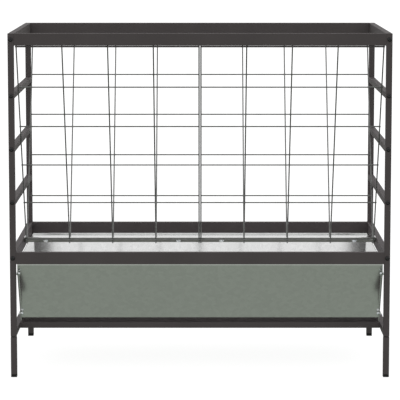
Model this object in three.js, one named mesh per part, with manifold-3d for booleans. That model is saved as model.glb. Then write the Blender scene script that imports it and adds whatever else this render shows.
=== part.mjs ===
// Hay rack on four legs with a sheet-metal catch trough.
//
// A bolted frame of painted square and rectangular steel tube carries two leaning sides of welded wire mesh
// that meet in a V over a galvanised trough. Units are millimetres, +Z is up, and the origin lies on the
// ground at the middle of the footprint. The long sides face -Y (front) and +Y (back).

import * as THREE from "three";
import { mergeVertices } from "three/addons/utils/BufferGeometryUtils.js";
import Module from "manifold-3d";

const wasm = await Module();
wasm.setup();

// ---------- driving dimensions ----------

const LENGTH = 1010; // along X, over the posts
const DEPTH = 582; // along Y, over the posts
const HEIGHT = 918;

const TUBE = 16; // side of the square tube, and thickness of the rails
const RAIL_TALL = 32; // height of the rectangular rail tube
const WALL = 1.5;
const TUBE_CORNER = 1.6; // outer corner radius of every tube
const END_WALL = 3; // plate welded into the ends of the cross tubes, drilled for a bolt

const SEAM_Z = 110.5; // where the posts stand on the lower legs
const MID_RAIL_Z = 305.5; // underside of the middle rails
const RUNG_Z = [753.5, 612, 470.5]; // middle heights of the side rungs, from the top down
const TROUGH_RAIL_INSET = 119.5; // outer face of the frame to outer face of a rail under the trough

const FIT_GAP = 0.2; // clearance of plugs in tubes and bolts in holes
const SPIGOT_LENGTH = 40; // lower leg inside the post
const SPIGOT_CORNER = 0.6;
const CAP_HEIGHT = 8; // part of the foot cap that shows
const CAP_EDGE = 1.5; // chamfer of the foot cap
const CAP_PLUG = 18; // part of the foot cap inside the leg

const HOLE_SIDES = 8;
const BOLT_SIDES = 10;
const BOLT_R = 3; // M6
const HEAD_R = 6;
const HEAD_HEIGHT = 3.3;
const SOCKET_R = 2.3; // across the corners of the hexagon socket
const SOCKET_DEPTH = 2;
const POST_BOLT_LENGTH = 32;
const BAR_BOLT_LENGTH = 24;

const WIRE_R = 1.75;
const WIRE_SIDES = 6;
const MESH_PITCH = 120.1; // between upright wires
const MESH_COLUMNS = 4;
const MESH_ROWS = 5;
const MESH_CENTRE_OFFSET = 2.6; // middle of the rack to the first upright of each half
const MESH_TOP = { y: 8, z: 883.6 }; // top cross wire, y measured inwards from the front of the frame
const MESH_BOTTOM = { y: 272.5, z: 332.9 }; // bottom cross wire
const WIRE_LAYER = 2.6; // from the uprights out to the cross wires that are welded on them
const WIRE_TOP_END = 9; // uprights above the top cross wire, inside the rail
const WIRE_BOTTOM_END = 14; // uprights below the bottom cross wire, over the bar
const CROSS_OVERHANG = 2.4; // cross wires past the outermost upright
const TOP_ROD_R = 2.25; // heavier top cross wire
const TOP_ROD_RISE = 1.2; // top cross wire above the end of the mesh's even pitch

const BAR_TOP_Z = MID_RAIL_Z + RAIL_TALL;
const BAR_LIP_DROP = 14.5;
const BAR_SHEET = 2;
const BAR_GAP = 0.3; // lips of the bar to the wires that lie on them

const SHEET = 1.2; // trough sheet
const TROUGH_RIM = { y: 17, z: 300 }; // outer edge of the trough's mouth, y from the front of the frame
const TROUGH_FLOOR_Y = 131.5; // outer corner of the trough's floor, from the front of the frame
const TROUGH_END_X = 487.2; // outer face of the trough's end plates
const SEAM_FLANGE = 14; // how far the end seams stand out of the trough's walls
const RIM_UPSTAND = 6.5; // upright hem along the trough's mouth, above the sloping wall
const FLANGE_FOOT = 6; // foot of a seam flange above the rail under it

// ---------- derived places ----------

const HALF_X = LENGTH / 2;
const HALF_Y = DEPTH / 2;
const POST_X = HALF_X - TUBE / 2;
const POST_Y = HALF_Y - TUBE / 2;
const INNER_X = HALF_X - TUBE; // inner faces of the posts
const INNER_Y = HALF_Y - TUBE;
const TOP_RAIL_Z = HEIGHT - RAIL_TALL;
const TROUGH_FLOOR_Z = SEAM_Z + TUBE;
const SIDES_X = [["left", -1], ["right", 1]];
const SIDES_Y = [["front", -1], ["back", 1]];

// ---------- materials ----------

const paint = () => new THREE.MeshStandardMaterial({ color: 0x423e3f, roughness: 0.45, metalness: 0.2 });
const blackSteel = () => new THREE.MeshStandardMaterial({ color: 0x2b2a2b, roughness: 0.4, metalness: 0.5 });
const plastic = () => new THREE.MeshStandardMaterial({ color: 0x222222, roughness: 0.7, metalness: 0 });
const wireZinc = () => new THREE.MeshStandardMaterial({ color: 0x8d8f8c, roughness: 0.4, metalness: 0.9 });
const sheetZinc = () => new THREE.MeshStandardMaterial({ color: 0xa9aeaa, roughness: 0.3, metalness: 0.9 });

// ---------- solids ----------

function solidOf(geometry) {
  const bare = geometry.clone();
  bare.deleteAttribute("normal");
  bare.deleteAttribute("uv");
  const merged = mergeVertices(bare, 1e-4);
  const triVerts = new Uint32Array(merged.index.array);
  const vertProperties = merged.attributes.position.array;
  return new wasm.Manifold(new wasm.Mesh({ numProp: 3, vertProperties, triVerts }));
}

function geometryOf(solid) {
  const mesh = solid.getMesh();
  const geometry = new THREE.BufferGeometry();
  geometry.setAttribute("position", new THREE.BufferAttribute(new Float32Array(mesh.vertProperties), 3));
  geometry.setIndex(new THREE.BufferAttribute(new Uint32Array(mesh.triVerts), 1));
  geometry.computeVertexNormals();
  return geometry;
}

const joined = (solids) => solids.reduce((whole, solid) => whole.add(solid));
const cut = (solid, tools) => tools.reduce((left, tool) => left.subtract(tool), solid);

// Rectangle with rounded corners, centred on the origin; a radius of 0 gives square corners.
function roundedRect(width, height, radius) {
  const shape = new THREE.Shape();
  const x = width / 2;
  const y = height / 2;
  if (radius === 0) {
    shape.moveTo(-x, -y);
    shape.lineTo(x, -y);
    shape.lineTo(x, y);
    shape.lineTo(-x, y);
    return shape;
  }
  shape.moveTo(-x + radius, -y);
  shape.lineTo(x - radius, -y);
  shape.absarc(x - radius, -y + radius, radius, -Math.PI / 2, 0);
  shape.lineTo(x, y - radius);
  shape.absarc(x - radius, y - radius, radius, 0, Math.PI / 2);
  shape.lineTo(-x + radius, y);
  shape.absarc(-x + radius, y - radius, radius, Math.PI / 2, Math.PI);
  shape.lineTo(-x, -y + radius);
  shape.absarc(-x + radius, -y + radius, radius, Math.PI, 1.5 * Math.PI);
  return shape;
}

// Upright prism of a rounded rectangle between two heights.
function prism(width, height, radius, low, high) {
  const options = { depth: high - low, bevelEnabled: false, curveSegments: 2 };
  const geometry = new THREE.ExtrudeGeometry(roundedRect(width, height, radius), options);
  geometry.translate(0, 0, low);
  return solidOf(geometry);
}

// Straight tube along Z, open at both ends.
function tube(width, height, low, high) {
  const bore = prism(width - 2 * WALL, height - 2 * WALL, 0, low - 1, high + 1);
  return prism(width, height, TUBE_CORNER, low, high).subtract(bore);
}

// Round rod between two points.
function rod(from, to, radius, sides) {
  const along = new THREE.Vector3().subVectors(to, from);
  const geometry = new THREE.CylinderGeometry(radius, radius, along.length(), sides);
  geometry.rotateY(Math.PI / sides);
  const axis = new THREE.Vector3(0, 1, 0);
  geometry.applyQuaternion(new THREE.Quaternion().setFromUnitVectors(axis, along.clone().normalize()));
  geometry.translate((from.x + to.x) / 2, (from.y + to.y) / 2, (from.z + to.z) / 2);
  return solidOf(geometry);
}

// Hole for a bolt along X ("x") or Y ("y") that passes through a point.
function boltHole(point, axis, reach) {
  const half = new THREE.Vector3(axis === "x" ? reach : 0, axis === "y" ? reach : 0, 0);
  const centre = new THREE.Vector3(...point);
  const radius = (BOLT_R + FIT_GAP) / Math.cos(Math.PI / HOLE_SIDES);
  return rod(centre.clone().sub(half), centre.clone().add(half), radius, HOLE_SIDES);
}

// Prism along X of an outline drawn in (y, z).
function alongX(outline, from, to) {
  const shape = new THREE.Shape(outline.map(([y, z]) => new THREE.Vector2(y, z)));
  const geometry = new THREE.ExtrudeGeometry(shape, { depth: to - from, bevelEnabled: false });
  const swap = new THREE.Matrix4().set(0, 0, 1, from, 1, 0, 0, 0, 0, 1, 0, 0, 0, 0, 0, 1);
  geometry.applyMatrix4(swap);
  return solidOf(geometry);
}

// The same prism between two distances from the middle, on the left (-1) or right (1) side.
function slab(outline, side, near, far) {
  return side < 0 ? alongX(outline, -far, -near) : alongX(outline, near, far);
}

// ---------- the object ----------

const rack = new THREE.Group();

function place(name, geometry, material, position = [0, 0, 0], rotation = [0, 0, 0]) {
  const mesh = new THREE.Mesh(geometry, material);
  mesh.name = name;
  mesh.position.set(...position);
  mesh.rotation.set(...rotation);
  rack.add(mesh);
}

// Uprights of one mesh panel, as pairs of end points. sideX and sideY are -1 or 1.
function uprightEnds(sideX, sideY, column) {
  const top = new THREE.Vector3(0, sideY * (HALF_Y - MESH_TOP.y), MESH_TOP.z);
  const bottom = new THREE.Vector3(0, sideY * (HALF_Y - MESH_BOTTOM.y), MESH_BOTTOM.z);
  const down = new THREE.Vector3().subVectors(bottom, top).normalize();
  const x = sideX * (MESH_CENTRE_OFFSET + column * MESH_PITCH);
  top.addScaledVector(down, -WIRE_TOP_END).setX(x);
  bottom.addScaledVector(down, WIRE_BOTTOM_END).setX(x);
  return [top, bottom];
}

function addPosts() {
  const boltHeights = [TOP_RAIL_Z + RAIL_TALL / 2, ...RUNG_Z, MID_RAIL_Z + RAIL_TALL / 2];
  const holes = boltHeights.map((z) => boltHole([0, 0, z], "y", TUBE));
  const lid = prism(TUBE, TUBE, TUBE_CORNER, HEIGHT - WALL, HEIGHT);
  const post = cut(tube(TUBE, TUBE, SEAM_Z, HEIGHT).add(lid), holes);
  const socket = solidOf(new THREE.CylinderGeometry(SOCKET_R, SOCKET_R, 2 * SOCKET_DEPTH, 6));
  const profile = [
    [0, 0],
    [BOLT_R, 0],
    [BOLT_R, POST_BOLT_LENGTH],
    [HEAD_R, POST_BOLT_LENGTH],
    [HEAD_R * 0.85, POST_BOLT_LENGTH + HEAD_HEIGHT * 0.7],
    [HEAD_R * 0.5, POST_BOLT_LENGTH + HEAD_HEIGHT],
    [0, POST_BOLT_LENGTH + HEAD_HEIGHT],
  ].map(([r, y]) => new THREE.Vector2(r, y));
  const blank = solidOf(new THREE.LatheGeometry(profile, BOLT_SIDES));
  const bolt = blank.subtract(socket.translate([0, POST_BOLT_LENGTH + HEAD_HEIGHT, 0]));
  const boltNames = ["top", "rung_1", "rung_2", "rung_3", "mid"];
  for (const [nameY, sideY] of SIDES_Y)
    for (const [nameX, sideX] of SIDES_X) {
      const corner = nameY + "_" + nameX;
      place("post_" + corner, geometryOf(post), paint(), [sideX * POST_X, sideY * POST_Y, 0]);
      boltHeights.forEach((z, i) => {
        const tip = [sideX * POST_X, sideY * (HALF_Y - POST_BOLT_LENGTH), z];
        const turn = [0, 0, sideY < 0 ? Math.PI : 0];
        place("bolt_" + boltNames[i] + "_" + corner, geometryOf(bolt), blackSteel(), tip, turn);
      });
    }
}

function addLegs() {
  const spigot = TUBE - 2 * WALL - 2 * FIT_GAP;
  const spigotBore = spigot - 2 * WALL;
  const legBore = TUBE - 2 * WALL;
  const outside = prism(TUBE, TUBE, TUBE_CORNER, CAP_HEIGHT, SEAM_Z);
  const stub = prism(spigot, spigot, SPIGOT_CORNER, SEAM_Z - WALL, SEAM_Z + SPIGOT_LENGTH);
  const bores = [
    prism(legBore, legBore, 0, CAP_HEIGHT - 1, SEAM_Z - 2 * WALL),
    prism(spigotBore, spigotBore, 0, SEAM_Z - 3 * WALL, SEAM_Z + SPIGOT_LENGTH + 1),
  ];
  const leg = cut(outside.add(stub), bores);
  const capOptions = {
    depth: CAP_HEIGHT - 2 * CAP_EDGE,
    bevelSize: CAP_EDGE,
    bevelThickness: CAP_EDGE,
    bevelSegments: 1,
    curveSegments: 2,
  };
  const capCore = TUBE - 2 * CAP_EDGE;
  const capOutline = roundedRect(capCore, capCore, TUBE_CORNER - CAP_EDGE);
  const capBase = new THREE.ExtrudeGeometry(capOutline, capOptions);
  capBase.translate(0, 0, CAP_EDGE);
  const plug = prism(spigot, spigot, SPIGOT_CORNER, CAP_HEIGHT / 2, CAP_HEIGHT + CAP_PLUG);
  const cap = solidOf(capBase).add(plug);
  for (const [nameY, sideY] of SIDES_Y)
    for (const [nameX, sideX] of SIDES_X) {
      const corner = nameY + "_" + nameX;
      place("leg_" + corner, geometryOf(leg), paint(), [sideX * POST_X, sideY * POST_Y, 0]);
      place("foot_cap_" + corner, geometryOf(cap), plastic(), [sideX * POST_X, sideY * POST_Y, 0]);
    }
}

// Rails along X between the posts. The top ones are drilled from below for the ends of the upright wires.
function addLongRails() {
  const across = [0, Math.PI / 2, 0];
  for (const [nameY, sideY] of SIDES_Y) {
    const middle = [0, sideY * POST_Y, TOP_RAIL_Z + RAIL_TALL / 2];
    const rail = solidOf(geometryOf(tube(RAIL_TALL, TUBE, -INNER_X, INNER_X)).rotateY(Math.PI / 2));
    const wireHoles = SIDES_X.flatMap(([, sideX]) =>
      Array.from({ length: MESH_COLUMNS + 1 }, (_, column) => {
        const [top, bottom] = uprightEnds(sideX, sideY, column);
        return rod(top, bottom, WIRE_R + 2 * FIT_GAP, WIRE_SIDES);
      }),
    );
    const drilled = cut(rail.translate(middle), wireHoles);
    place("top_rail_" + nameY, geometryOf(drilled), paint());
    const plain = geometryOf(tube(RAIL_TALL, TUBE, -INNER_X, INNER_X));
    place("mid_rail_" + nameY, plain, paint(), [0, sideY * POST_Y, MID_RAIL_Z + RAIL_TALL / 2], across);
    const underY = sideY * (HALF_Y - TROUGH_RAIL_INSET - TUBE / 2);
    const under = geometryOf(tube(TUBE, TUBE, -INNER_X, INNER_X));
    place("trough_rail_" + nameY, under, paint(), [0, underY, SEAM_Z + TUBE / 2], across);
  }
}

// Cross tube along Y between two posts, closed at both ends by a drilled plate.
function crossTube(tall, extraHoles = []) {
  const ends = [-1, 1].map((side) => {
    const inner = side * (INNER_Y - END_WALL);
    const outer = side * INNER_Y;
    return prism(TUBE - WALL, tall - WALL, 0, Math.min(inner, outer), Math.max(inner, outer));
  });
  const closed = joined([tube(TUBE, tall, -INNER_Y, INNER_Y), ...ends]);
  const lying = solidOf(geometryOf(closed).rotateX(-Math.PI / 2));
  return cut(lying, [boltHole([0, 0, 0], "y", DEPTH), ...extraHoles]);
}

function addSideTubes() {
  const rung = crossTube(TUBE);
  const topRail = crossTube(RAIL_TALL);
  const midRail = crossTube(RAIL_TALL, [boltHole([0, 0, 0], "x", TUBE)]);
  const low = tube(TUBE, TUBE, -INNER_Y, INNER_Y);
  for (const [nameX, sideX] of SIDES_X) {
    const x = sideX * POST_X;
    place("top_side_rail_" + nameX, geometryOf(topRail), paint(), [x, 0, TOP_RAIL_Z + RAIL_TALL / 2]);
    place("mid_side_rail_" + nameX, geometryOf(midRail), paint(), [x, 0, MID_RAIL_Z + RAIL_TALL / 2]);
    RUNG_Z.forEach((z, i) => place("rung_" + (i + 1) + "_" + nameX, geometryOf(rung), paint(), [x, 0, z]));
    const lowPlace = [x, 0, SEAM_Z + TUBE / 2];
    place("low_side_rail_" + nameX, geometryOf(low), paint(), lowPlace, [Math.PI / 2, 0, 0]);
  }
}

// One welded panel: five upright wires with six cross wires on their outer side.
function addMeshPanels() {
  for (const [nameY, sideY] of SIDES_Y)
    for (const [nameX, sideX] of SIDES_X) {
      const wires = [];
      for (let column = 0; column <= MESH_COLUMNS; column++)
        wires.push(rod(...uprightEnds(sideX, sideY, column), WIRE_R, WIRE_SIDES));
      const rise = MESH_TOP.z - MESH_BOTTOM.z;
      const run = MESH_BOTTOM.y - MESH_TOP.y;
      const length = Math.hypot(rise, run); // length of the mesh between its top and bottom cross wires
      const nearX = sideX * (MESH_CENTRE_OFFSET - WIRE_R);
      const farX = sideX * (MESH_CENTRE_OFFSET + MESH_COLUMNS * MESH_PITCH + CROSS_OVERHANG);
      for (let row = 0; row <= MESH_ROWS; row++) {
        const radius = row === 0 ? TOP_ROD_R : WIRE_R;
        const share = row === 0 ? -TOP_ROD_RISE / length : row / MESH_ROWS;
        const layer = (WIRE_LAYER + radius - WIRE_R) / length;
        const y = sideY * (HALF_Y - MESH_TOP.y - share * run + layer * rise);
        const z = MESH_TOP.z - share * rise - layer * run;
        wires.push(rod(new THREE.Vector3(nearX, y, z), new THREE.Vector3(farX, y, z), radius, WIRE_SIDES));
      }
      place("mesh_" + nameY + "_" + nameX, geometryOf(joined(wires)), wireZinc());
    }
}

// Channel that holds the feet of the mesh: a flat top with lips folded in to the slope of the mesh.
function addCentreBar() {
  const slope = (MESH_BOTTOM.y - MESH_TOP.y) / (MESH_TOP.z - MESH_BOTTOM.z);
  const clear = (WIRE_R + BAR_GAP) * Math.hypot(1, slope);
  const sheetAcross = BAR_SHEET * Math.hypot(1, slope);
  const lipY = (z) => MESH_BOTTOM.y - HALF_Y + (MESH_BOTTOM.z - z) * slope + clear;
  const footZ = BAR_TOP_Z - BAR_LIP_DROP;
  const underZ = BAR_TOP_Z - BAR_SHEET;
  const half = [
    [lipY(BAR_TOP_Z), BAR_TOP_Z],
    [lipY(footZ), footZ],
    [lipY(footZ) + sheetAcross, footZ],
    [lipY(underZ) + sheetAcross, underZ],
  ];
  const mirrored = half.map(([y, z]) => [-y, z]).reverse();
  const channel = alongX([...half, ...mirrored], -INNER_X, INNER_X);
  const endOutline = [half[0], half[1], mirrored[2], mirrored[3]];
  const ends = SIDES_X.map(([, sideX]) => slab(endOutline, sideX, INNER_X - BAR_SHEET, INNER_X));
  const boltZ = MID_RAIL_Z + RAIL_TALL / 2;
  const bar = joined([channel, ...ends]);
  place("centre_bar", geometryOf(bar.subtract(boltHole([0, 0, boltZ], "x", LENGTH))), sheetZinc());
  const profile = [
    [0, 0],
    [BOLT_R, 0],
    [BOLT_R, BAR_BOLT_LENGTH],
    [HEAD_R, BAR_BOLT_LENGTH],
    [HEAD_R, BAR_BOLT_LENGTH + HEAD_HEIGHT * 0.4],
    [HEAD_R * 0.6, BAR_BOLT_LENGTH + HEAD_HEIGHT],
    [0, BAR_BOLT_LENGTH + HEAD_HEIGHT],
  ].map(([r, y]) => new THREE.Vector2(r, y));
  for (const [nameX, sideX] of SIDES_X) {
    const tip = [sideX * (HALF_X - BAR_BOLT_LENGTH), 0, boltZ];
    const bolt = new THREE.LatheGeometry(profile, BOLT_SIDES);
    const solid = geometryOf(solidOf(bolt));
    place("bar_bolt_" + nameX, solid, blackSteel(), tip, [0, 0, (-sideX * Math.PI) / 2]);
  }
}

// Folded trough sheet with turned-out seam flanges, and the two end plates that are bolted to them.
function addTrough() {
  const rimY = HALF_Y - TROUGH_RIM.y;
  const floorY = HALF_Y - TROUGH_FLOOR_Y;
  const slope = (rimY - floorY) / (TROUGH_RIM.z - TROUGH_FLOOR_Z);
  const sheetAcross = SHEET * Math.hypot(1, slope);
  const wallY = (z) => floorY + (z - TROUGH_FLOOR_Z) * slope;
  const topZ = TROUGH_RIM.z + RIM_UPSTAND;
  const insideZ = TROUGH_FLOOR_Z + SHEET;
  const half = [
    [wallY(TROUGH_FLOOR_Z), TROUGH_FLOOR_Z],
    [rimY, TROUGH_RIM.z],
    [rimY, topZ],
    [rimY - 2 * SHEET, topZ],
    [rimY - 2 * SHEET, TROUGH_RIM.z],
    [rimY - sheetAcross, TROUGH_RIM.z],
    [wallY(insideZ) - sheetAcross, insideZ],
  ];
  const mirrored = half.map(([y, z]) => [-y, z]).reverse();
  const insidePlate = TROUGH_END_X - SHEET;
  const folded = alongX([...half, ...mirrored], -insidePlate, insidePlate);

  const footZ = TROUGH_FLOOR_Z + FLANGE_FOOT;
  const turnZ = TROUGH_RIM.z - SEAM_FLANGE / slope; // the seam's edge is upright from here to the rim
  const seamEdge = [
    [wallY(footZ) + SEAM_FLANGE, footZ],
    [rimY, turnZ],
    [rimY, topZ],
  ];
  const weldedEdge = [
    [rimY - SHEET, topZ],
    [rimY - sheetAcross / 2, TROUGH_RIM.z],
    [wallY(footZ) - sheetAcross / 2, footZ],
  ];
  const flangeOutline = [...seamEdge, ...weldedEdge];
  const flanges = SIDES_X.flatMap(([, sideX]) => {
    const front = slab(flangeOutline, sideX, insidePlate - SHEET, insidePlate);
    return [front, front.mirror([0, 1, 0])];
  });
  place("trough_sheet", geometryOf(joined([folded, ...flanges])), sheetZinc());

  const plateHalf = [[floorY, TROUGH_FLOOR_Z], [wallY(footZ), footZ], ...seamEdge];
  const plateOutline = [...plateHalf, ...plateHalf.map(([y, z]) => [-y, z]).reverse()];
  for (const [nameX, sideX] of SIDES_X) {
    const plate = slab(plateOutline, sideX, insidePlate, TROUGH_END_X);
    place("trough_end_" + nameX, geometryOf(plate), sheetZinc());
  }
}

addPosts();
addLegs();
addLongRails();
addSideTubes();
addMeshPanels();
addCentreBar();
addTrough();

export default rack;
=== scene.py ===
import math

import bmesh
import bpy
from mathutils import Matrix, Vector


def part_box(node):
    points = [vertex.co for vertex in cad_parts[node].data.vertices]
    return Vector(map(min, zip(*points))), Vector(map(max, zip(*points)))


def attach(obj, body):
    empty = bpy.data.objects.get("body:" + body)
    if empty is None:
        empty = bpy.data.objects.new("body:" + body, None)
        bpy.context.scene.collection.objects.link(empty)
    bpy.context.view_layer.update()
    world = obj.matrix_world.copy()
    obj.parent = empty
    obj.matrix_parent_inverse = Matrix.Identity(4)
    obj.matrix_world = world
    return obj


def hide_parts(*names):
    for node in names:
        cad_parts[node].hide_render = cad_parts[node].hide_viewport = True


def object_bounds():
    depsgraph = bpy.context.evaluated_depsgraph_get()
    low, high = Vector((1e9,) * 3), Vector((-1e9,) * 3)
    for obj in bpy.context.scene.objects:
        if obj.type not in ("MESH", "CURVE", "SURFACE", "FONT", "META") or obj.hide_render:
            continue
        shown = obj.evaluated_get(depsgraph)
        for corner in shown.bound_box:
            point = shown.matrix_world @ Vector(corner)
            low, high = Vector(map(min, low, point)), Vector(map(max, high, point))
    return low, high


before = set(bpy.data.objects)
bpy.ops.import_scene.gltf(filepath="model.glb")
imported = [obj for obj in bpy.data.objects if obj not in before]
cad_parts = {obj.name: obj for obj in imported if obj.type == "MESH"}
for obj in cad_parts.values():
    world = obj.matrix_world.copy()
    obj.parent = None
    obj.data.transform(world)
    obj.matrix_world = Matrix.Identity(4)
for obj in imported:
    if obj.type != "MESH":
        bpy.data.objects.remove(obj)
cad_low, cad_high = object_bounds()

MM = 0.001
SIDES_X = (("left", -1), ("right", 1))
SIDES_Y = (("front", -1), ("back", 1))

# ---------- sizes of the details ----------

TUBE_CORNER = 1.6 * MM
TUBE_END_SOFT = 0.3 * MM
POST_TOP_SOFT = 1.2 * MM
LEG_SEAM_SOFT = 0.6 * MM
LEG_SEAM_GAP = 2.4 * MM  # open joint between a post and its leg
LEG_SHADE_COLLAR_INSET = 0.8 * MM  # black collar that shows in that joint, inside the face of the tube, painted shade in the joint
BEAD = 2.6 * MM  # leg of the fillet weld in the inner corners of the frame
BEAD_PITCH = 1.9 * MM  # ripple of that weld
BEAD_STEPS = 4  # rings in each ripple
BEAD_RIPPLE = 0.06  # height of the ripple, as a share of the bead
BEAD_START = 0.45  # the bead where it begins, as a share of its full size
CAP_SOLE_SOFT = 1.5 * MM
CAP_TOP_SOFT = 0.5 * MM

WIRE_R = 1.75 * MM
WIRE_TOP_END = 9 * MM  # uprights above the top cross wire
WIRE_BOTTOM_END = 14 * MM  # uprights below the bottom cross wire
WIRE_LAYER = 2.6 * MM  # from the uprights out to the cross wires
CROSS_OVERHANG = 2.4 * MM  # cross wires past the outermost upright
TOP_ROD_R = 2.25 * MM  # dark rod along the top of each panel
TOP_ROD_RISE = 1.2 * MM  # that rod above the end of the mesh's even pitch
MESH_COLUMNS = 4
MESH_ROWS = 5

BAR_SHEET = 2 * MM
BAR_BEND = 1.4 * MM
SHEET = 1.2 * MM
SHEET_BEND = 1.6 * MM
RIM_BEND = 1.2 * MM
RIM_UPSTAND = 6.5 * MM  # upright hem along the trough's mouth
HEM_GAP = 0.2 * MM
HEM_RISE = 0.3 * MM  # inner edge of the hem above the foot of the upstand
HEM_FOLD = 0.95  # bend along the hem's top, as a share of the widest that fits
FLOOR_INSET = 12 * MM  # outer face of the rail under the trough to the corner of its floor
SEAM_FLANGE = 14 * MM
FLANGE_FOOT = 6 * MM  # foot of a seam flange above the rail under it
FLANGE_LAP = 10 * MM  # seam flange's sheet on the wall side of its fold
FLANGE_LEAST = 3 * MM
FLANGE_BEND = 1.2 * MM
PLATE_SOFT = 0.2 * MM

# radius and height of a button head, flats and depth of its socket
FRAME_BOLT = (6 * MM, 3.3 * MM, 4 * MM, 2 * MM)
SMALL_SCREW = (4.8 * MM, 2.6 * MM, 3 * MM, 1.4 * MM)
SHANK_R_SHARE = 0.5  # stub of a screw's shank, as a share of its head
SHANK_STUB = 2 * MM
WASHER = (6.2 * MM, 1 * MM)  # radius, thickness
WASHER_SOFT = 0.2 * MM
# flats, height, radius of the screw, screw past the nut
NUT = (9.8 * MM, 4.2 * MM, 2.5 * MM, 1.6 * MM)
BAR_END_SOFT = 0.2 * MM
BAR_BOLT_RISE = 5 * MM  # bar screws above the foot of the lip
SEAM_BOLTS = ((24 * MM, 276.8 * MM), (106 * MM, 153 * MM))  # y from the front of the frame, z
BAR_BOLTS_X = (60 * MM, 429.5 * MM)
ROUND = 32  # points round a turned piece

SIDE_RAILS = ("top_side_rail_", "rung_1_", "rung_2_", "rung_3_", "mid_side_rail_",
              "low_side_rail_")

FLOOR_REACH = 60
FLOOR_DROP = 0.5 * MM  # floor below the feet
CAMERA_PLACE = (0, -5.856, 1.216)
CAMERA_TILT = math.radians(82.972)
CAMERA_LENS = 191  # on a sensor 36 wide
CAMERA_SHIFT = -0.0489


# ---------- node materials ----------

def new_material(name):
    material = bpy.data.materials.new(name)
    material.use_nodes = True
    return material, material.node_tree.nodes["Principled BSDF"]


def node(material, kind, **settings):
    made = material.node_tree.nodes.new(kind)
    for key, value in settings.items():
        if key in made.inputs:
            made.inputs[key].default_value = value
        else:
            setattr(made, key, value)
    return made


def link(material, output, target):
    material.node_tree.links.new(output, target)


def object_noise(material, scale, detail=3.0, stretch=(1, 1, 1)):
    """Noise in the object's own coordinates, in metres, so that it stays the same size on every piece."""
    place = node(material, "ShaderNodeTexCoord")
    mapping = node(material, "ShaderNodeMapping")
    mapping.inputs["Scale"].default_value = stretch
    noise = node(material, "ShaderNodeTexNoise")
    noise.inputs["Scale"].default_value = scale
    noise.inputs["Detail"].default_value = detail
    link(material, place.outputs["Object"], mapping.inputs["Vector"])
    link(material, mapping.outputs["Vector"], noise.inputs["Vector"])
    return noise.outputs["Fac"]


def ramp(material, factor, stops):
    """Colour ramp through (place, grey or colour) stops."""
    made = node(material, "ShaderNodeValToRGB")
    elements = made.color_ramp.elements
    while len(elements) < len(stops):
        elements.new(0.5)
    for element, (place, value) in zip(elements, stops):
        element.position = place
        colour = (value,) * 3 if isinstance(value, (int, float)) else value
        element.color = (*colour, 1)
    link(material, factor, made.inputs["Fac"])
    return made.outputs["Color"]


def bump(material, shader, height, distance, strength=1.0):
    made = node(material, "ShaderNodeBump")
    made.inputs["Strength"].default_value = strength
    made.inputs["Distance"].default_value = distance
    link(material, height, made.inputs["Height"])
    link(material, made.outputs["Normal"], shader.inputs["Normal"])


def scaled(colour, factor):
    return tuple(channel * factor for channel in colour)


def mixed(material, factor, first, second, blend="MIX"):
    made = node(material, "ShaderNodeMix", data_type="RGBA", blend_type=blend)
    if isinstance(factor, float):
        made.inputs[0].default_value = factor
    else:
        link(material, factor, made.inputs[0])
    link(material, first, made.inputs[6])
    link(material, second, made.inputs[7])
    return made.outputs[2]


def powder_coat():
    """Satin charcoal powder coat: fine orange peel, faint clouding."""
    material, shader = new_material("charcoal_powder_coat")
    colour = (0.09, 0.079, 0.08)
    clouds = object_noise(material, 9, 4)
    tint = ramp(material, clouds, ((0.3, scaled(colour, 0.94)), (0.7, scaled(colour, 1.06))))
    link(material, tint, shader.inputs["Base Color"])
    speckle = object_noise(material, 1300, 2)
    link(material, ramp(material, speckle, ((0.3, 0.5), (0.7, 0.6))), shader.inputs["Roughness"])
    bump(material, shader, object_noise(material, 620, 2), 0.06 * MM, 0.6)
    shader.inputs["Specular IOR Level"].default_value = 0.14
    return material


def galvanised_sheet():
    """Smooth rolled zinc: faint spangle and faint rolling streaks along the sheet."""
    material, shader = new_material("galvanised_sheet")
    colour = (0.84, 0.845, 0.84)
    place = node(material, "ShaderNodeTexCoord")
    spangle = node(material, "ShaderNodeTexVoronoi", feature="F1")
    spangle.inputs["Scale"].default_value = 95
    link(material, place.outputs["Object"], spangle.inputs["Vector"])
    grain = node(material, "ShaderNodeSeparateColor")
    link(material, spangle.outputs["Color"], grain.inputs["Color"])
    tones = ((0.0, scaled(colour, 0.965)), (1.0, scaled(colour, 1.035)))
    flakes = ramp(material, grain.outputs["Red"], tones)
    clouds = object_noise(material, 5, 4, (0.5, 1, 1))
    shade = ramp(material, clouds, ((0.3, 0.975), (0.7, 1.0)))
    link(material, mixed(material, 1.0, flakes, shade, "MULTIPLY"), shader.inputs["Base Color"])
    streaks = object_noise(material, 420, 3, (0.03, 1, 1))
    link(material, ramp(material, streaks, ((0.25, 0.12), (0.75, 0.15))), shader.inputs["Roughness"])
    bump(material, shader, streaks, 0.002 * MM, 0.3)
    shader.inputs["Metallic"].default_value = 1.0
    return material


def lip_painted_shade_zinc():
    """Painted shade: the galvanised sheet darkened to a flat grey for the turned-down lips of the bar."""
    material, shader = new_material("lip_painted_shade_zinc")
    colour = (0.215, 0.22, 0.2)
    clouds = object_noise(material, 40, 4, (0.4, 1, 1))
    link(material, ramp(material, clouds, ((0.3, scaled(colour, 0.93)), (0.7, scaled(colour, 1.07)))),
         shader.inputs["Base Color"])
    grain = object_noise(material, 900, 2)
    link(material, ramp(material, grain, ((0.3, 0.3), (0.7, 0.4))), shader.inputs["Roughness"])
    bump(material, shader, grain, 0.02 * MM, 0.4)
    shader.inputs["Metallic"].default_value = 1.0
    return material


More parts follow.
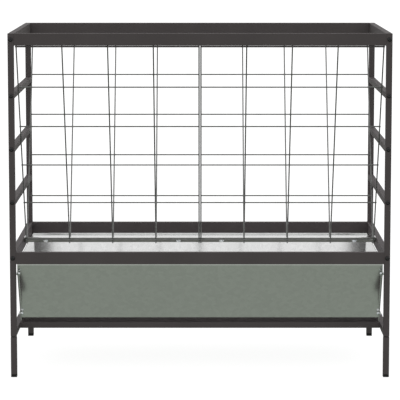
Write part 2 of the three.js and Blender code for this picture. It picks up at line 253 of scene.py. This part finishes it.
def zinc_wire():
    """Drawn wire with a dull zinc coat: small runs and pits in the coat."""
    material, shader = new_material("zinc_coated_wire")
    colour = (0.2, 0.203, 0.197)
    runs = object_noise(material, 70, 4)
    link(material, ramp(material, runs, ((0.3, scaled(colour, 0.8)), (0.7, scaled(colour, 1.2)))),
         shader.inputs["Base Color"])
    pits = object_noise(material, 900, 3)
    link(material, ramp(material, pits, ((0.3, 0.26), (0.7, 0.42))), shader.inputs["Roughness"])
    bump(material, shader, pits, 0.05 * MM, 0.5)
    shader.inputs["Metallic"].default_value = 1.0
    return material


def bright_zinc():
    """Plated screws, nuts and washers: bright zinc with a trace of passivation colour."""
    material, shader = new_material("bright_zinc_plating")
    tone = object_noise(material, 160, 3)
    link(material, ramp(material, tone, ((0.35, (0.78, 0.82, 0.85)), (0.65, (0.88, 0.9, 0.88)))),
         shader.inputs["Base Color"])
    fine = object_noise(material, 1500, 2)
    link(material, ramp(material, fine, ((0.3, 0.16), (0.7, 0.26))), shader.inputs["Roughness"])
    bump(material, shader, fine, 0.02 * MM, 0.4)
    shader.inputs["Metallic"].default_value = 1.0
    return material


def black_oxide():
    """Blackened steel screws."""
    material, shader = new_material("black_oxide_steel")
    tone = object_noise(material, 300, 3)
    link(material, ramp(material, tone, ((0.3, (0.03, 0.03, 0.032)), (0.7, (0.06, 0.059, 0.06)))),
         shader.inputs["Base Color"])
    fine = object_noise(material, 1800, 2)
    link(material, ramp(material, fine, ((0.3, 0.16), (0.7, 0.24))), shader.inputs["Roughness"])
    bump(material, shader, fine, 0.03 * MM, 0.5)
    shader.inputs["Metallic"].default_value = 0.9
    return material


def moulded_plastic():
    """Matte black foot caps with a fine spark-eroded grain."""
    material, shader = new_material("black_moulded_plastic")
    tone = object_noise(material, 120, 3)
    link(material, ramp(material, tone, ((0.3, (0.006, 0.006, 0.006)), (0.7, (0.011, 0.011, 0.0105)))),
         shader.inputs["Base Color"])
    grain = object_noise(material, 2600, 2)
    link(material, ramp(material, grain, ((0.3, 0.5), (0.7, 0.66))), shader.inputs["Roughness"])
    bump(material, shader, grain, 0.05 * MM, 0.7)
    shader.inputs["Specular IOR Level"].default_value = 0.3
    return material


PAINT = powder_coat()
SHEET_ZINC = galvanised_sheet()
LIP_PAINTED_SHADE_ZINC = lip_painted_shade_zinc()
WIRE_ZINC = zinc_wire()
SCREW_ZINC = bright_zinc()
BLACK = black_oxide()
PLASTIC = moulded_plastic()


# ---------- mesh helpers ----------

def loft(bm, rings, closed=True):
    """Skin through rings of equal length; closed adds the two end faces."""
    made = [[bm.verts.new(point) for point in ring] for ring in rings]
    for first, second in zip(made, made[1:]):
        for i in range(len(first)):
            j = (i + 1) % len(first)
            bm.faces.new((first[i], first[j], second[j], second[i]))
    if closed:
        bm.faces.new(list(reversed(made[0])))
        bm.faces.new(made[-1])


def finish_piece(name, bm, material, replaced=(), sharp=32):
    """One object from the mesh, smooth but for its sharp edges, riding on the rack."""
    bmesh.ops.recalc_face_normals(bm, faces=bm.faces)
    mesh = bpy.data.meshes.new(name)
    bm.to_mesh(mesh)
    bm.free()
    mesh.materials.append(material)
    mesh.shade_smooth()
    mesh.set_sharp_from_angle(angle=math.radians(sharp))
    piece = bpy.data.objects.new(name, mesh)
    bpy.context.collection.objects.link(piece)
    normals = piece.modifiers.new("weighted_normals", "WEIGHTED_NORMAL")
    normals.keep_sharp = True
    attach(piece, "root")
    if replaced:
        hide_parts(*replaced)
    return piece


def arc(centre, radius, start, end, steps):
    """Points of a circular arc, angles in degrees."""
    angles = [math.radians(start + (end - start) * i / steps) for i in range(steps + 1)]
    return [(centre[0] + radius * math.cos(a), centre[1] + radius * math.sin(a)) for a in angles]


def rounded_rect(width, height, radius, steps=6):
    x, y = width / 2 - radius, height / 2 - radius
    corners = ((x, -y, -90), (x, y, 0), (-x, y, 90), (-x, -y, 180))
    quarters = [arc((cx, cy), radius, start, start + 90, steps) for cx, cy, start in corners]
    return [point for quarter in quarters for point in quarter]


def soft_end(soft, steps=3):
    """(distance from the end, inset) of the rings that round an edge, from the end face inwards."""
    angles = [math.pi / 2 * i / steps for i in range(steps + 1)]
    return [(soft * (1 - math.sin(a)), soft * (1 - math.cos(a))) for a in reversed(angles)]


def add_bar(bm, low, high, axis, corner=TUBE_CORNER, soft_low=TUBE_END_SOFT, soft_high=TUBE_END_SOFT):
    """Rounded rectangular tube that fills a box, seen from outside, along axis 0, 1 or 2."""
    across = [i for i in range(3) if i != axis]
    size = [high[i] - low[i] for i in across]
    middle = [(high[i] + low[i]) / 2 for i in across]
    stations = sorted((low[axis] + d, inset) for d, inset in soft_end(soft_low))
    stations += sorted((high[axis] - d, inset) for d, inset in soft_end(soft_high))
    rings = []
    for place, inset in stations:
        outline = rounded_rect(size[0] - 2 * inset, size[1] - 2 * inset, corner - inset)
        ring = []
        for u, v in outline:
            point = [0.0, 0.0, 0.0]
            point[axis] = place
            point[across[0]] = middle[0] + u
            point[across[1]] = middle[1] + v
            ring.append(point)
        rings.append(ring)
    loft(bm, rings)


def axes_about(direction):
    """Two unit vectors at right angles to direction."""
    forward = Vector(direction).normalized()
    side = Vector((0, 0, 1)) if abs(forward.z) < 0.9 else Vector((1, 0, 0))
    first = forward.cross(side).normalized()
    return forward, first, forward.cross(first)


def turned_ring(base, direction, radius_at, distance, count):
    forward, first, second = axes_about(direction)
    ring = []
    for i in range(count):
        angle = 2 * math.pi * i / count
        radius = radius_at(angle)
        outward = first * math.cos(angle) + second * math.sin(angle)
        ring.append(base + forward * distance + outward * radius)
    return ring


def add_turned(bm, base, direction, profile, count=ROUND):
    """Turned solid. Profile: (radius or function of the angle, distance along direction)."""
    rings = []
    for radius, distance in profile:
        radius_at = radius if callable(radius) else (lambda angle, r=radius: r)
        rings.append(turned_ring(Vector(base), direction, radius_at, distance, count))
    loft(bm, rings)


def hexagon(across_flats, limit=1.0):
    """Radius of a hexagon at an angle, never more than limit."""
    def radius_at(angle):
        turn = (angle % (math.pi / 3)) - math.pi / 6
        return min(across_flats / 2 / math.cos(turn), limit)
    return radius_at


def add_rod(bm, start, end, radius, count=12):
    """Round wire with softly cut ends."""
    start, end = Vector(start), Vector(end)
    length = (end - start).length
    soft = radius * 0.3
    profile = [(radius - soft, 0), (radius - soft * 0.3, soft * 0.3), (radius, soft)]
    profile += [(r, length - d) for r, d in reversed(profile)]
    add_turned(bm, start, end - start, profile, count)


def box_of(name):
    low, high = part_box(name)
    return list(low), list(high)


# ---------- painted frame ----------

def paint_tube(name, axis, soft_low=TUBE_END_SOFT, soft_high=TUBE_END_SOFT):
    bm = bmesh.new()
    low, high = box_of(name)
    add_bar(bm, low, high, axis, soft_low=soft_low, soft_high=soft_high)
    return finish_piece(name + "_painted", bm, PAINT, [name])


def add_flush_weld(bm, rail_low, rail_high, side_x, outer_y, side_y):
    """Fills the groove between a post's rounded corner and a rail's end, ground level with both."""
    end_x = rail_high[0] if side_x > 0 else rail_low[0]
    outline = [(end_x + side_x * TUBE_CORNER, outer_y)]
    outline += [(end_x - side_x * 2 * TUBE_END_SOFT, outer_y)]
    outline += [(end_x - side_x * 2 * TUBE_END_SOFT, outer_y - side_y * TUBE_CORNER)]
    outline += [(end_x, outer_y - side_y * TUBE_CORNER)]
    low_z, high_z = rail_low[2] + TUBE_CORNER * 0.6, rail_high[2] - TUBE_CORNER * 0.6
    loft(bm, [[(x, y, z) for x, y in outline] for z in (low_z, high_z)])


def add_corner_bead(bm, corner, side_x, side_z, low_y, high_y):
    """Rippled fillet weld along Y in the corner between a rail and the inner face of a post."""
    count = max(2, round((high_y - low_y) / BEAD_PITCH)) * BEAD_STEPS
    rings = []
    for i in range(count + 1):
        y = low_y + (high_y - low_y) * i / count
        taper = min(1.0, BEAD_START + (1 - BEAD_START) * math.sin(math.pi * i / count) * 2)
        leg = BEAD * taper * (1 + BEAD_RIPPLE * math.cos(2 * math.pi * i / BEAD_STEPS))
        angles = [math.radians(15 * step) for step in range(7)]
        ring = [(0.0, 0.0)] + [(leg * (1 - math.sin(a)), leg * (1 - math.cos(a))) for a in angles]
        rings.append([(corner[0] - side_x * u, y, corner[1] + side_z * v) for u, v in ring])
    loft(bm, rings)


def build_leg(corner):
    """Lower leg, and a black collar in the open joint between it and its post: painted shade inside the
    joint.
    """
    low, high = box_of("leg_" + corner)
    seam_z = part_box("post_" + corner)[0].z
    high[2] = seam_z - LEG_SEAM_GAP
    bm = bmesh.new()
    add_bar(bm, low, high, 2, soft_high=LEG_SEAM_SOFT)
    finish_piece("leg_" + corner + "_painted", bm, PAINT, ["leg_" + corner])
    # black plastic collar: painted shade inside the joint
    inset = LEG_SHADE_COLLAR_INSET
    shade_collar_low = [low[0] + inset, low[1] + inset, high[2] - TUBE_CORNER]
    shade_collar_high = [high[0] - inset, high[1] - inset, seam_z + TUBE_CORNER]
    bm = bmesh.new()
    add_bar(bm, shade_collar_low, shade_collar_high, 2)
    finish_piece("leg_shade_collar_" + corner, bm, PLASTIC)


def build_frame():
    for name_y, _ in SIDES_Y:
        for name_x, _ in SIDES_X:
            corner = name_y + "_" + name_x
            paint_tube("post_" + corner, 2, soft_low=LEG_SEAM_SOFT, soft_high=POST_TOP_SOFT)
            build_leg(corner)
        for rail in ("top_rail_", "mid_rail_", "trough_rail_"):
            paint_tube(rail + name_y, 0)
    for name_x, _ in SIDES_X:
        for rail in SIDE_RAILS:
            paint_tube(rail + name_x, 1)


def build_welds():
    for name_y, side_y in SIDES_Y:
        for name_x, side_x in SIDES_X:
            post_low, post_high = box_of("post_" + name_y + "_" + name_x)
            inner_x = post_high[0] if side_x < 0 else post_low[0]
            outer_y = post_low[1] if side_y < 0 else post_high[1]
            inner_y = outer_y - side_y * (post_high[1] - post_low[1])
            bm = bmesh.new()
            for rail in ("top_rail_", "mid_rail_"):
                low, high = box_of(rail + name_y)
                add_flush_weld(bm, low, high, side_x, outer_y, side_y)
                add_flush_weld(bm, low, high, side_x, inner_y, -side_y)
                y_range = sorted((outer_y - side_y * TUBE_CORNER, inner_y + side_y * TUBE_CORNER))
                add_corner_bead(bm, (inner_x, low[2]), side_x, -1, *y_range)
                if rail == "mid_rail_":
                    add_corner_bead(bm, (inner_x, high[2]), side_x, 1, *y_range)
            finish_piece("welds_" + name_y + "_" + name_x, bm, PAINT, sharp=60)


def build_foot_caps():
    for name_y, _ in SIDES_Y:
        for name_x, _ in SIDES_X:
            name = "foot_cap_" + name_y + "_" + name_x
            low, high = box_of(name)
            high[2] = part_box("leg_" + name_y + "_" + name_x)[0].z
            bm = bmesh.new()
            add_bar(bm, low, high, 2, soft_low=CAP_SOLE_SOFT, soft_high=CAP_TOP_SOFT)
            finish_piece(name + "_moulded", bm, PLASTIC, [name])


# ---------- fasteners ----------

def add_button_head(bm, seat, direction, size):
    """Button head with a hexagon socket, seated on a face, and a stub of its shank in the hole."""
    radius, height, flats, depth = size
    shank = radius * SHANK_R_SHARE
    dome = [(shank, -SHANK_STUB), (shank, 0), (radius * 0.985, 0), (radius, height * 0.1)]
    full = math.radians(56)
    for step in range(1, 8):
        angle = full * step / 7
        rise = 0.1 + 0.9 * math.sin(angle) / math.sin(full)
        dome.append((radius * math.cos(angle) ** 1.15, height * rise))
    rim = flats / 2 * 1.25
    dome += [(rim, height), (hexagon(flats), height - 0.12 * MM), (hexagon(flats), height - depth)]
    dome += [(flats * 0.2, height - depth - 0.4 * MM)]
    add_turned(bm, seat, direction, dome)


def build_frame_bolts():
    levels = ("top", "rung_1", "rung_2", "rung_3", "mid")
    for name_y, side_y in SIDES_Y:
        for name_x, _ in SIDES_X:
            for level in levels:
                name = "bolt_" + level + "_" + name_y + "_" + name_x
                low, high = box_of(name)
                post_low, post_high = box_of("post_" + name_y + "_" + name_x)
                face = post_low[1] if side_y < 0 else post_high[1]
                seat = ((low[0] + high[0]) / 2, face, (low[2] + high[2]) / 2)
                bm = bmesh.new()
                add_button_head(bm, seat, (0, side_y, 0), FRAME_BOLT)
                finish_piece(name + "_black", bm, BLACK, [name])
    for name_x, side_x in SIDES_X:
        name = "bar_bolt_" + name_x
        low, high = box_of(name)
        rail_low, rail_high = box_of("mid_side_rail_" + name_x)
        face = rail_low[0] if side_x < 0 else rail_high[0]
        seat = (face, (low[1] + high[1]) / 2, (low[2] + high[2]) / 2)
        bm = bmesh.new()
        add_button_head(bm, seat, (side_x, 0, 0), FRAME_BOLT)
        finish_piece(name + "_black", bm, BLACK, [name])


def add_washer(bm, seat, direction):
    radius, thick = WASHER
    soft = WASHER_SOFT
    profile = [(radius - soft, 0), (radius, soft), (radius, thick - soft), (radius - soft, thick)]
    add_turned(bm, seat, direction, profile)


def add_nut(bm, seat, direction):
    """Chamfered hexagon nut with the threaded end of the screw through it."""
    flats, height, shank_r, shank_out = NUT
    full = flats / 2 / math.cos(math.pi / 6)
    profile = [
        (hexagon(flats, flats * 0.51), 0),
        (hexagon(flats, full), 0.35 * MM),
        (hexagon(flats, full), height - 0.6 * MM),
        (hexagon(flats, flats * 0.5), height),
        (shank_r * 1.12, height),
        (shank_r, height - 0.2 * MM),
    ]
    turns = 3
    for turn in range(turns):
        low = height + shank_out * turn / turns
        profile += [(shank_r * 0.88, low), (shank_r, low + shank_out / turns / 2)]
    profile += [(shank_r * 0.85, height + shank_out)]
    add_turned(bm, seat, direction, profile, 48)


# ---------- welded mesh ----------

def upright_slope(low, high):
    """Angle of the uprights from the vertical: they run between opposite corners of the panel's box."""
    angle = 0.0
    for _ in range(12):
        run = high[1] - low[1] - 2 * WIRE_R * math.cos(angle)
        rise = high[2] - low[2] - 2 * WIRE_R * math.sin(angle)
        angle = math.atan2(run, rise)
    return angle


def add_weld_spot(bm, centre, along, radius):
    """Small squeezed-out collar of metal where two wires are welded."""
    turns = [math.pi * step / 6 for step in range(1, 6)]
    profile = [(radius * math.sin(turn), -radius * math.cos(turn)) for turn in turns]
    add_turned(bm, centre, along, profile, 10)


def build_mesh_panels():
    for name_y, side_y in SIDES_Y:
        for name_x, side_x in SIDES_X:
            name = "mesh_" + name_y + "_" + name_x
            low, high = box_of(name)
            angle = upright_slope(low, high)
            down = Vector((0, -side_y * math.sin(angle), -math.cos(angle)))
            out = Vector((0, side_y * math.cos(angle), -math.sin(angle)))
            outer_y = high[1] if side_y > 0 else low[1]
            top_y = outer_y - side_y * WIRE_R * math.cos(angle)
            top = Vector((0, top_y, high[2] - WIRE_R * math.sin(angle)))
            length = (high[2] - low[2] - 2 * WIRE_R * math.sin(angle)) / math.cos(angle)
            near = (low[0] if side_x > 0 else high[0]) + side_x * WIRE_R
            far = (high[0] if side_x > 0 else low[0]) - side_x * CROSS_OVERHANG
            bm = bmesh.new()
            columns = [near + (far - near) * column / MESH_COLUMNS for column in range(MESH_COLUMNS + 1)]
            rows_length = length - WIRE_TOP_END - WIRE_BOTTOM_END
            rows = [WIRE_TOP_END + rows_length * row / MESH_ROWS for row in range(MESH_ROWS + 1)]
            for x in columns:
                start = Vector((x, top.y, top.z))
                add_rod(bm, start, start + down * length, WIRE_R)
            ends = [near - side_x * WIRE_R, far + side_x * CROSS_OVERHANG]
            for row in rows[1:]:
                middle = top + down * row + out * WIRE_LAYER
                add_rod(bm, (ends[0], middle.y, middle.z), (ends[1], middle.y, middle.z), WIRE_R)
                for x in columns:
                    spot = top + down * row + out * (WIRE_LAYER / 2)
                    add_weld_spot(bm, (x, spot.y, spot.z), out, WIRE_R * 1.05)
            finish_piece(name + "_wires", bm, WIRE_ZINC, [name], sharp=50)
            middle = top + down * (WIRE_TOP_END - TOP_ROD_RISE) + out * (WIRE_LAYER + TOP_ROD_R - WIRE_R)
            bm = bmesh.new()
            add_rod(bm, (ends[0], middle.y, middle.z), (ends[1], middle.y, middle.z), TOP_ROD_R, 20)
            finish_piece(name + "_top_rod", bm, PAINT, sharp=50)


# ---------- folded sheet ----------

def bent_path(points, radii, steps=6):
    """Polyline whose inner points are rounded with the given radii."""
    path = [Vector(points[0])]
    for before, point, after, radius in zip(points, points[1:], points[2:], radii):
        here = Vector(point)
        back = (Vector(before) - here).normalized()
        ahead = (Vector(after) - here).normalized()
        half = math.acos(max(-1.0, min(1.0, back.dot(ahead)))) / 2
        reach = radius / math.tan(half)
        centre = here + (back + ahead).normalized() * (radius / math.sin(half))
        first, last = here + back * reach - centre, here + ahead * reach - centre
        turn = first.angle_signed(last)
        path += [centre + Matrix.Rotation(-turn * i / steps, 2) @ first for i in range(steps + 1)]
    path.append(Vector(points[-1]))
    return path


def thick_outline(path, thickness):
    """Closed outline of a sheet of that thickness along a path, the path being its middle."""
    left, right = [], []
    for i, point in enumerate(path):
        before = path[max(i - 1, 0)]
        after = path[min(i + 1, len(path) - 1)]
        along = (after - before).normalized()
        normal = Vector((-along.y, along.x))
        left.append(point + normal * thickness / 2)
        right.append(point - normal * thickness / 2)
    return left + right[::-1]


def add_ribbon(bm, outline, stations):
    """Sheet of that (y, z) outline between two places on X."""
    loft(bm, [[(x, p[0], p[1]) for p in outline] for x in stations])


def bar_lips():
    """Half width of the bar at the foot of its lips, and the slope of the lips."""
    low, high = box_of("centre_bar")
    panel_low, panel_high = box_of("mesh_front_left")
    slope = math.tan(upright_slope(panel_low, panel_high))
    return -low[1] - (high[2] - low[2]) * slope, slope


def build_centre_bar():
    low, high = box_of("centre_bar")
    foot_y, slope = bar_lips()
    half = BAR_SHEET / 2
    top_y, top_z = -low[1], high[2] - half
    inset = half * math.hypot(1, slope)
    outline = [(foot_y - inset, low[2]), (top_y - inset, top_z)]
    outline = [(-y, z) for y, z in outline] + outline[::-1]
    path = bent_path(outline, (BAR_BEND, BAR_BEND))
    bm = bmesh.new()
    add_ribbon(bm, thick_outline(path, BAR_SHEET), (low[0], high[0]))
    for side_x in (-1, 1):
        x = high[0] if side_x > 0 else low[0]
        places = sorted((x - side_x * BAR_SHEET, x - side_x * BAR_END_SOFT))
        loft(bm, [[(place, p.x, p.y) for p in path] for place in places])
    bar = finish_piece("centre_bar_folded", bm, SHEET_ZINC, ["centre_bar"])
    # the lip faces take the darker zinc: painted shade on the same sheet
    bar.data.materials.append(LIP_PAINTED_SHADE_ZINC)
    for face in bar.data.polygons:
        if face.center.z < high[2] - BAR_SHEET and abs(face.normal.x) < 0.5:
            face.material_index = 1


def build_bar_screws():
    """Screws with washers on the two lips of the bar."""
    foot_y, slope = bar_lips()
    lip = Vector((0, -1, -slope)).normalized()
    seat_z = box_of("centre_bar")[0][2] + BAR_BOLT_RISE
    seat_y = foot_y + BAR_BOLT_RISE * slope
    for name_y, side_y in SIDES_Y:
        direction = Vector((0, -side_y * lip.y, lip.z))
        bm = bmesh.new()
        for side_x in (-1, 1):
            for place in BAR_BOLTS_X:
                seat = Vector((side_x * place, side_y * seat_y, seat_z))
                add_washer(bm, seat, direction)
                add_button_head(bm, seat + direction * WASHER[1], direction, SMALL_SCREW)
        finish_piece("bar_screws_" + name_y, bm, SCREW_ZINC)


sheet_low, sheet_high = box_of("trough_sheet")
TROUGH_FLOOR_Y = -box_of("trough_rail_front")[0][1] - FLOOR_INSET
TROUGH_MOUTH_Y = sheet_high[1]
TROUGH_RIM_Z = sheet_high[2] - RIM_UPSTAND
TROUGH_SLOPE = (TROUGH_MOUTH_Y - TROUGH_FLOOR_Y) / (TROUGH_RIM_Z - sheet_low[2])
FLANGE_FOOT_Z = sheet_low[2] + FLANGE_FOOT
FLANGE_TURN_Z = TROUGH_RIM_Z - SEAM_FLANGE / TROUGH_SLOPE


def wall_y(z, depth):
    """Half width of the trough at a height, depth metres inside the outer face of its wall."""
    across = math.hypot(1, TROUGH_SLOPE)
    return TROUGH_FLOOR_Y + (z - sheet_low[2]) * TROUGH_SLOPE - depth * across


def add_seam_flange(bm, side_x, side_y):
    """Flange folded out from the end of a wall, flat against the end plate."""
    half = SHEET / 2
    end = sheet_high[0] if side_x > 0 else sheet_low[0]
    rings = []
    for z in (FLANGE_FOOT_Z, FLANGE_TURN_Z, TROUGH_RIM_Z):
        width = max(min(SEAM_FLANGE, TROUGH_MOUTH_Y - wall_y(z, 0)), FLANGE_LEAST)
        wall = wall_y(z, half)
        section = bent_path([(FLANGE_LAP, 0), (0, 0), (0, width)], (FLANGE_BEND,), 5)
        outline = thick_outline(section, SHEET)
        rings.append([(end - side_x * (half + u), side_y * (wall + v), z) for u, v in outline])
    loft(bm, rings)


def build_trough_sheet():
    """Floor, walls and doubled rim, folded from one sheet, with its four seam flanges."""
    half = SHEET / 2
    fold = (SHEET + HEM_GAP) / 2 * HEM_FOLD
    outer = TROUGH_MOUTH_Y - half
    inner = outer - SHEET - HEM_GAP
    top_z = sheet_high[2] - half
    floor_z = sheet_low[2] + half
    side = [(inner, TROUGH_RIM_Z + HEM_RISE), (inner, top_z), (outer, top_z)]
    side += [(wall_y(TROUGH_RIM_Z, half), TROUGH_RIM_Z), (wall_y(floor_z, half), floor_z)]
    points = [(-y, z) for y, z in side] + side[::-1]
    radii = (fold, fold, RIM_BEND, SHEET_BEND, SHEET_BEND, RIM_BEND, fold, fold)
    path = bent_path(points, radii)
    bm = bmesh.new()
    add_ribbon(bm, thick_outline(path, SHEET), (sheet_low[0], sheet_high[0]))
    for side_x in (-1, 1):
        for side_y in (-1, 1):
            add_seam_flange(bm, side_x, side_y)
    finish_piece("trough_folded", bm, SHEET_ZINC, ["trough_sheet"])


def build_trough_end(name_x):
    solid = "trough_end_" + name_x
    low, high = box_of(solid)
    foot_y = wall_y(FLANGE_FOOT_Z, 0)
    edge = [(TROUGH_FLOOR_Y, sheet_low[2]), (foot_y, FLANGE_FOOT_Z)]
    edge += [(foot_y + SEAM_FLANGE, FLANGE_FOOT_Z), (TROUGH_MOUTH_Y, FLANGE_TURN_Z)]
    edge += [(TROUGH_MOUTH_Y, sheet_high[2])]
    outline = edge + [(-y, z) for y, z in reversed(edge)]
    stations = [(low[0], PLATE_SOFT), (low[0] + PLATE_SOFT, 0)]
    stations += [(high[0] - PLATE_SOFT, 0), (high[0], PLATE_SOFT)]
    bm = bmesh.new()
    loft(bm, [[(x, y - math.copysign(inset, y), z) for y, z in outline] for x, inset in stations])
    finish_piece(solid + "_plate", bm, SHEET_ZINC, [solid])


def build_seam_screws(name_x, side_x):
    """Screws and nuts that hold an end plate to the seam flanges."""
    low, high = box_of("trough_end_" + name_x)
    outside = high[0] if side_x > 0 else low[0]
    inside = outside - side_x * 2 * SHEET
    bm = bmesh.new()
    for side_y in (-1, 1):
        for inset_y, z in SEAM_BOLTS:
            y = side_y * (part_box("post_back_left")[1].y - inset_y)
            add_button_head(bm, (outside, y, z), (side_x, 0, 0), SMALL_SCREW)
            add_nut(bm, (inside, y, z), (-side_x, 0, 0))
    finish_piece("trough_screws_" + name_x, bm, SCREW_ZINC)


# ---------- stage ----------

def build_floor():
    """Large pale floor with a glow, hidden from reflections: the metal sees the world's ground."""
    material, shader = new_material("pale_floor")
    tone = object_noise(material, 1.5, 2)
    link(material, ramp(material, tone, ((0.3, 0.24), (0.7, 0.26))), shader.inputs["Base Color"])
    shader.inputs["Roughness"].default_value = 0.9
    shader.inputs["Specular IOR Level"].default_value = 0.0
    shader.inputs["Emission Color"].default_value = (1, 1, 1, 1)
    shader.inputs["Emission Strength"].default_value = 0.9
    bm = bmesh.new()
    corners = [(-1, -1), (1, -1), (1, 1), (-1, 1)]
    bm.faces.new([bm.verts.new((x * FLOOR_REACH, y * FLOOR_REACH, 0)) for x, y in corners])
    mesh = bpy.data.meshes.new("floor")
    bm.to_mesh(mesh)
    bm.free()
    mesh.materials.append(material)
    floor = bpy.data.objects.new("floor", mesh)
    floor.location.z = cad_low.z - FLOOR_DROP
    floor.visible_glossy = False
    floor.visible_diffuse = False
    bpy.context.collection.objects.link(floor)


def build_light():
    """A soft white sky over a dim grey-green ground that brightens towards the horizon."""
    world = bpy.data.worlds.new("studio")
    bpy.context.scene.world = world
    world.use_nodes = True
    nodes, links = world.node_tree.nodes, world.node_tree.links
    place = nodes.new("ShaderNodeTexCoord")
    split = nodes.new("ShaderNodeSeparateXYZ")
    rise = nodes.new("ShaderNodeMapRange")
    rise.inputs["From Min"].default_value = -1.0
    rise.inputs["From Max"].default_value = 1.0
    sky = nodes.new("ShaderNodeValToRGB")
    stops = ((0.0, (0.235, 0.262, 0.226)), (0.3, (0.25, 0.276, 0.24)), (0.42, (0.4, 0.42, 0.39)))
    stops += ((0.52, (0.8, 0.8, 0.8)), (1.0, (0.9, 0.9, 0.9)))
    while len(sky.color_ramp.elements) < len(stops):
        sky.color_ramp.elements.new(0.5)
    for element, (height, colour) in zip(sky.color_ramp.elements, stops):
        element.position = height
        element.color = (*colour, 1)
    links.new(place.outputs["Generated"], split.inputs["Vector"])
    links.new(split.outputs["Z"], rise.inputs["Value"])
    links.new(rise.outputs["Result"], sky.inputs["Fac"])
    links.new(sky.outputs["Color"], nodes["Background"].inputs["Color"])


def build_camera():
    data = bpy.data.cameras.new("camera")
    data.sensor_width = 36
    data.lens = CAMERA_LENS
    data.shift_y = CAMERA_SHIFT
    data.clip_end = 200
    camera = bpy.data.objects.new("camera", data)
    camera.location = CAMERA_PLACE
    camera.rotation_euler = (CAMERA_TILT, 0, 0)
    bpy.context.collection.objects.link(camera)
    bpy.context.scene.camera = camera
    bpy.context.scene.view_settings.view_transform = "Standard"


build_frame()
build_welds()
build_foot_caps()
build_frame_bolts()
build_mesh_panels()
build_centre_bar()
build_bar_screws()
build_trough_sheet()
for name_x, side_x in SIDES_X:
    build_trough_end(name_x)
    build_seam_screws(name_x, side_x)
build_floor()
build_light()
build_camera()
